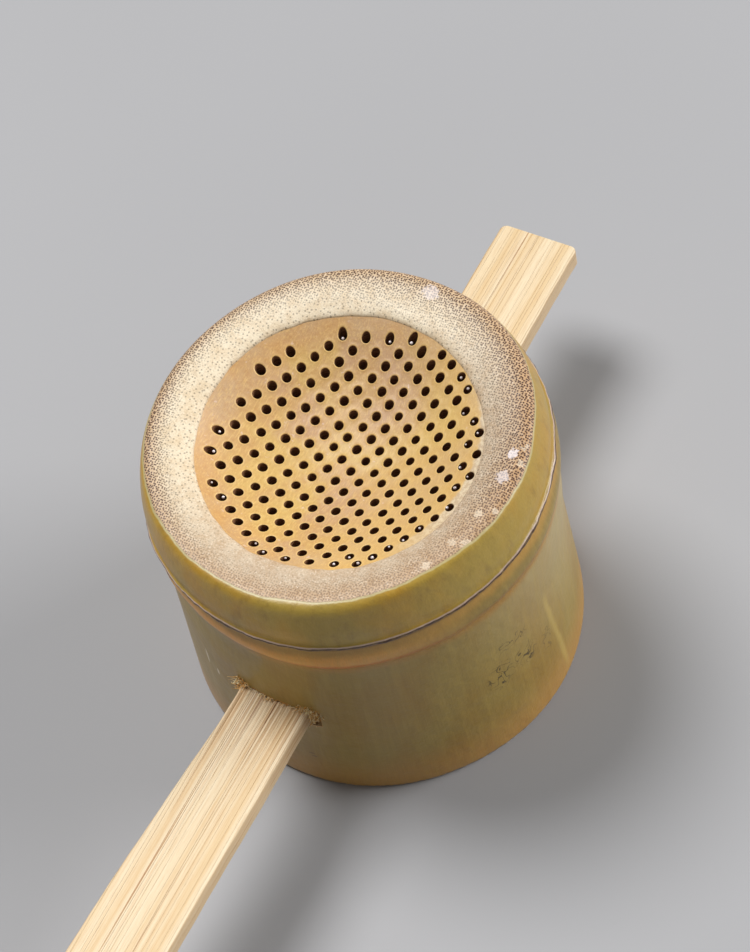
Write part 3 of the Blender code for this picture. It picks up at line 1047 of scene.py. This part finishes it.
def skin_material():
    """Outside of the culm and its cut rim. The skin starts further in at the front than at the back."""
    material, point = new_material("culm_skin", 0.4, 0.2, 0.3)
    height = attribute(material, "node_height")
    leaning = point.unit().along(EDGE_FRONT) * EDGE_LEAN
    depth = attribute(material, "cut_depth") + EDGE_OUTSET - leaning
    edge = depth + point.wander(0.16, 0.9) + point.wander(1.6, 0.2)
    skin = marked_skin(skin_map(point), skin_colour(point, height))
    cut, dots = cut_colour(point, depth)
    pale = mixed(edge.ramp(-0.42, -0.22), skin, (186, 172, 122))
    is_cut = edge.ramp(-0.12, 0.12)
    connect(material, "Roughness", edge.ramp(-0.2, 0.3, 0.4, 0.62))
    grain = point.stretched((1, 1, 0.04)).noise(4, 3, 0.6)
    lumps = point.noise(0.3, 3)
    skin_relief = grain * 0.02 + lumps * 0.25
    rough = point.noise(4.5, 3, 0.7) * 0.09
    cut_relief = dots * -0.05 + rough
    return finished(material, mixed(is_cut, pale, cut), cut_relief * is_cut + skin_relief)


def lining_material():
    """Upper face of the drilled node: golden tan, pinker in patches, brown and then pale at the mouth,
    with painted light on its +X side and painted highlights on the holes' lips.
    """
    material, point = new_material("node_lining", 0.5, 0.12, 0.35)
    radius = point.stretched((1, 1, 0)).length()
    clouds = point.noise(0.13, 3, 0.5)
    blush = point.noise(0.09, 2, 0.5, 0.4)
    fine = point.noise(1.5, 4, 0.65)
    threads = point.stretched((1, 0.2, 1)).noise(4, 2, 0.6)
    middle = mixed(clouds.ramp(0.38, 0.62), (198, 164, 96), (190, 150, 94))
    middle = mixed(blush.ramp(0.5, 0.66, 0, 0.75), middle, (184, 146, 114))
    edge = mixed(clouds.ramp(0.35, 0.65), (194, 150, 94), (188, 154, 114))
    colour = mixed(radius.ramp(16.5, 21), middle, edge)
    colour = mixed(fine.ramp(0.42, 0.72, 0, 0.35), colour, (170, 118, 60))
    colour = mixed(threads.ramp(0.45, 0.75, 0, 0.4), colour, (230, 196, 124))
    # Painted light: the bowl is made paler and more golden towards +X, its lit side
    golden = point.along((1, 0, 0)).ramp(0, 14) * 0.35
    colour = mixed(golden, colour, (232, 196, 112))
    wax = point.noise(0.8, 3, 0.6).ramp(0.66, 0.74, 0, 0.45)
    colour = mixed(wax, colour, (222, 200, 186))
    # Painted highlight: the lips round the holes are made paler and golden
    colour = mixed(attribute(material, "near_hole") * 0.5, colour, (234, 200, 128))
    on_right = point.unit().along((0.94, 0.34, 0)).ramp(0.35, 0.8)
    outer = radius + point.wander(0.7, 0.9)
    pale = mixed(fine.ramp(0.4, 0.6), (216, 198, 166), (194, 170, 138))
    colour = mixed(on_right * outer.ramp(21.3, 22), colour, pale)
    return finished(material, colour, fine * 0.06 + threads * 0.03)


def drilled_material():
    """Walls of the drilled holes: burnished brown, with turns left by the drill."""
    material, point = new_material("drilled_wall", 0.28, 0.3, 0.15)
    turns = point.stretched((0.4, 0.4, 4)).noise(1.5, 2)
    colour = mixed(turns.ramp(0.35, 0.65), (92, 60, 44), (158, 116, 84))
    return finished(material, colour, turns * 0.06)


def varnish_glint_material():
    """Varnish caught in the holes: pale, faintly violet and glossy, so that the beads are painted glints."""
    material, point = new_material("varnish_glint_beads", 0.15, 0.6, 0.1)
    clouds = point.noise(3, 2)
    colour = mixed(clouds.ramp(0.35, 0.65), (236, 230, 234), (198, 184, 182))
    return finished(material, colour, clouds * 0.03)


def inside_material():
    """Hollow inside of the skirt: pale woody lining with upright fibres."""
    material, point = new_material("culm_inside", 0.6)
    fibres = point.stretched((1, 1, 0.03)).noise(3, 4, 0.6)
    clouds = point.noise(0.15, 3)
    base = mixed(clouds.ramp(0.35, 0.65), (214, 182, 128), (196, 160, 108))
    colour = mixed(fibres.ramp(0.4, 0.7, 0, 0.45), base, (158, 118, 72))
    return finished(material, colour, fibres * 0.08)


def sawn_material():
    """Sawn foot and the cut walls of the slots, with the dots of the fibre bundles."""
    material, point = new_material("culm_sawn", 0.7)
    dots = point.cells(1.3).ramp(0.36, 0.2)
    saw = point.stretched((0.25, 4, 4)).noise(1.2, 3, 0.6)
    ground = mixed(saw.ramp(0.35, 0.7), (226, 200, 156), (198, 164, 118))
    colour = mixed(dots * 0.7, ground, (116, 76, 44))
    return finished(material, colour, saw * 0.08 + dots * -0.05)


def strip_material():
    """Planed split bamboo: cream, with thin lengthwise fibres that darken where the strip enters the slot."""
    material, point = new_material("split_bamboo", 0.5, 0.08, 0.4, (0, CULM_Y, strip_high.z))
    run = point.stretched((1, 0.003, 1))
    drift = point.stretched((1, 0.02, 1))
    broad = run.noise(0.45, 2, 0.5)
    lines = run.noise(3.4, 2, 0.6)
    hairs = drift.noise(8, 3, 0.6)
    comes_and_goes = drift.noise(0.9, 2).ramp(0.35, 0.6, 0.35, 1)
    thin = run.noise(1.1, 0, 0.4).near_middle(0.012)
    colour = mixed(broad.ramp(0.35, 0.65), (223, 206, 175), (213, 186, 143))
    colour = mixed(lines.ramp(0.57, 0.61, 0, 0.3), colour, (198, 156, 104))
    colour = mixed(hairs.ramp(0.52, 0.6, 0, 0.3), colour, (192, 152, 102))
    colour = mixed(thin * comes_and_goes * 0.85, colour, (164, 106, 50))
    y = point.along((0, 1, 0))
    near_slot = y.ramp(-49, -32) * y.ramp(30, 20)
    stain = near_slot * lines.ramp(0.47, 0.55)
    colour = mixed(stain * 0.5, colour, (158, 108, 46))
    dark = run.noise(2, 0).near_middle(0.03)
    colour = mixed(dark * near_slot * 0.8, colour, (128, 78, 30))
    facing = point.node("NewGeometry", {}, "Normal")
    on_side = abs(facing.along((1, 0, 0))).ramp(0.6, 0.9)
    colour = mixed(on_side * 0.35, colour, (186, 140, 84))
    on_end = abs(facing.along((0, 1, 0))).ramp(0.6, 0.9)
    end_dots = point.stretched((1, 0, 1)).cells(1.4, "3D").ramp(0.4, 0.2)
    colour = mixed(end_dots * on_end * 0.6, colour, (140, 96, 54))
    return finished(material, colour, lines * 0.05 + hairs * 0.03 - thin * 0.06)


def fibre_material():
    """Torn fibres: orange-tan, some pale and some dark brown."""
    material, point = new_material("torn_fibre", 0.6)
    patches = point.noise(1.6, 2)
    colour = mixed(patches.ramp(0.45, 0.6), (228, 176, 100), (246, 230, 182))
    colour = mixed(patches.ramp(0.38, 0.3), colour, (96, 64, 34))
    return finished(material, colour, point.noise(12, 2) * 0.05)


def floor_material():
    material, point = new_material("pale_floor", 0.9, origin=(0, 0, 0))
    soft = point.noise(0.004, 2).ramp(0.3, 0.7)
    connect(material, "Base Color", mixed(soft, (160, 161, 165), (164, 165, 169)))
    return material


# ---- camera, light and floor


def make_camera():
    """Looks down on the strainer from its front right, over the grip."""
    azimuth = math.radians(40.37)
    elevation = math.radians(56.03)
    roll = math.radians(15.1)
    aim = Vector((4.3 * MM, CULM_Y + 0.4 * MM, NODE_Z - 1.7 * MM))
    distance = 460.5 * MM
    camera = bpy.data.objects.new("camera", bpy.data.cameras.new("camera"))
    camera.data.sensor_fit = "VERTICAL"
    camera.data.sensor_height = 36
    camera.data.lens = 113.45
    level = Vector((math.cos(azimuth), math.sin(azimuth), 0))
    ahead = Vector((-level.y, level.x, 0)) * math.cos(elevation) - Vector((0, 0, math.sin(elevation)))
    above = level.cross(ahead)
    right = math.cos(roll) * level - math.sin(roll) * above
    up = right.cross(ahead)
    turned = Matrix((right, up, -ahead)).transposed().to_4x4()
    camera.matrix_world = Matrix.Translation(aim - ahead * distance) @ turned
    bpy.context.scene.collection.objects.link(camera)
    bpy.context.scene.camera = camera


def add_sun(name, comes_from, spread, strength, colour):
    """A far light that comes from a direction and is as wide in the sky as spread, in degrees."""
    light = bpy.data.lights.new(name, "SUN")
    light.angle = math.radians(spread)
    light.energy = strength
    light.color = colour
    lamp = bpy.data.objects.new(name, light)
    lamp.rotation_euler = (-Vector(comes_from)).to_track_quat("-Z", "Y").to_euler()
    bpy.context.scene.collection.objects.link(lamp)


def light_scene():
    world = bpy.data.worlds.new("studio")
    world.use_nodes = True
    background = world.node_tree.nodes["Background"]
    background.inputs["Color"].default_value = (1, 0.98, 0.95, 1)
    background.inputs["Strength"].default_value = 0.195
    bpy.context.scene.world = world
    add_sun("key", (-0.47, 0.10, 0.87), 27, 2.85, (1, 0.985, 0.96))
    add_sun("fill", (0.70, 0.60, 0.44), 33, 2.75, (1, 0.99, 0.97))
    bpy.context.scene.view_settings.view_transform = "Standard"


def make_floor():
    bm = bmesh.new()
    bmesh.ops.create_grid(bm, x_segments=8, y_segments=8, size=20)
    floor = object_from(bm, "floor", floor_material())
    floor.location.z = wall_low.z


# ---- the whole scene

clean_scene()
make_camera()
light_scene()
make_floor()

sawn = sawn_material()
culm = make_culm_wall(skin_material(), inside_material(), sawn)
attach(culm, "cup")
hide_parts("culm_wall")

node = make_drilled_node(lining_material(), drilled_material(), varnish_glint_material())
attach(node, "cup")
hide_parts("node_diaphragm")

fibres = make_slot_fibres(fibre_material())
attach(fibres, "cup")

strip = make_strip(strip_material())
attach(strip, "handle")
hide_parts("handle_strip")
